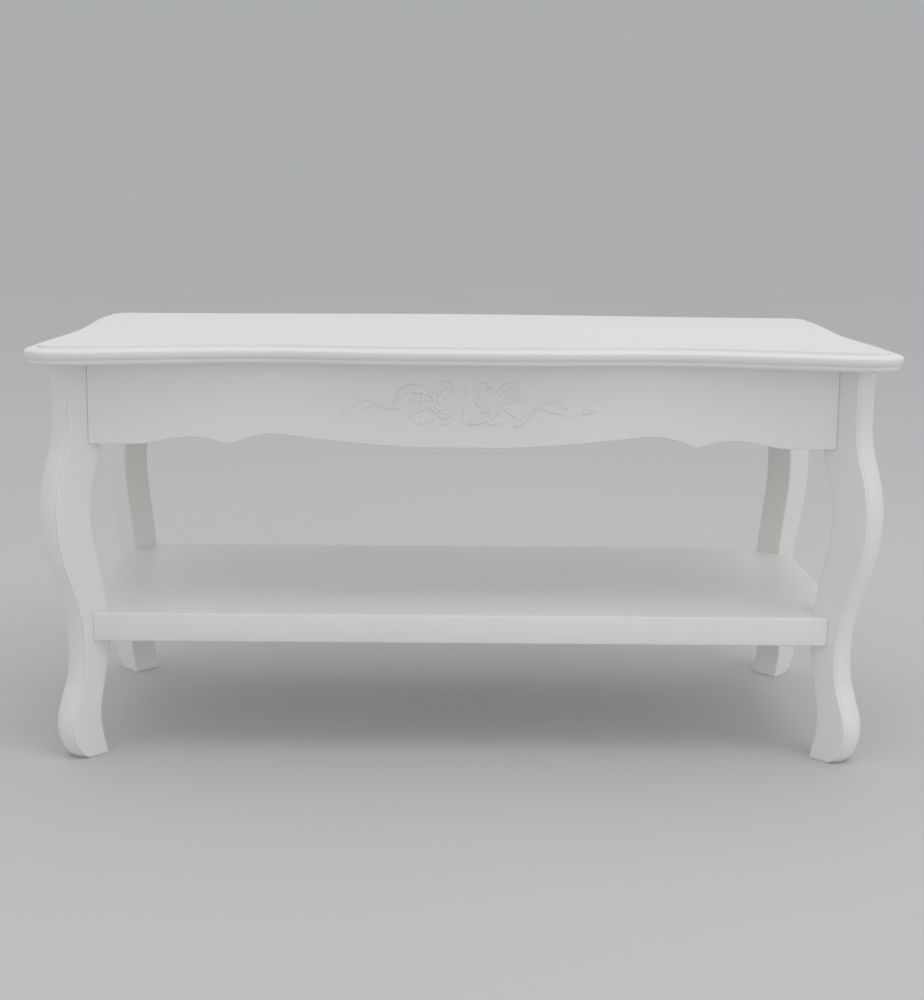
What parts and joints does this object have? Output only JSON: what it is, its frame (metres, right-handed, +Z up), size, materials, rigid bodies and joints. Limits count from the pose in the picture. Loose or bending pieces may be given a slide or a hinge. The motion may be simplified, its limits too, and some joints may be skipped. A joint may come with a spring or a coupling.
{
  "type": "console table",
  "caption": "Low painted console table with a serpentine moulded top, shaped aprons, S-curved corner legs and a lower shelf.",
  "frame": {"origin": "on the floor, under the middle of the top's bounding box", "axes": "+X to the right along the long side, -Y towards the front with the carved apron, +Z up"},
  "size_m": [0.8, 0.42, 0.4],
  "materials": {
    "white_paint": "satin white lacquer on fibreboard",
    "raw_wood": "unfinished softwood",
    "zinc_steel": "bright zinc plate"
  },
  "bodies": {
    "root": {"tabletop": "white_paint", "apron_front": "white_paint", "apron_back": "white_paint", "apron_left": "white_paint", "apron_right": "white_paint", "leg_front_left": "white_paint", "leg_front_right": "white_paint", "leg_back_left": "white_paint", "leg_back_right": "white_paint", "shelf": "white_paint", "corner_block_front_left": "raw_wood", "corner_block_front_right": "raw_wood", "corner_block_back_left": "raw_wood", "corner_block_back_right": "raw_wood", "corner_block_screws": "zinc_steel", "hanger_bolts": "zinc_steel", "hanger_washers": "zinc_steel", "hanger_nuts": "zinc_steel", "top_brackets": "zinc_steel", "top_bracket_screws": "zinc_steel", "shelf_dowels": "raw_wood", "shelf_cam_bolts": "zinc_steel", "shelf_cam_locks": "zinc_steel"}
  },
  "joints": []
}
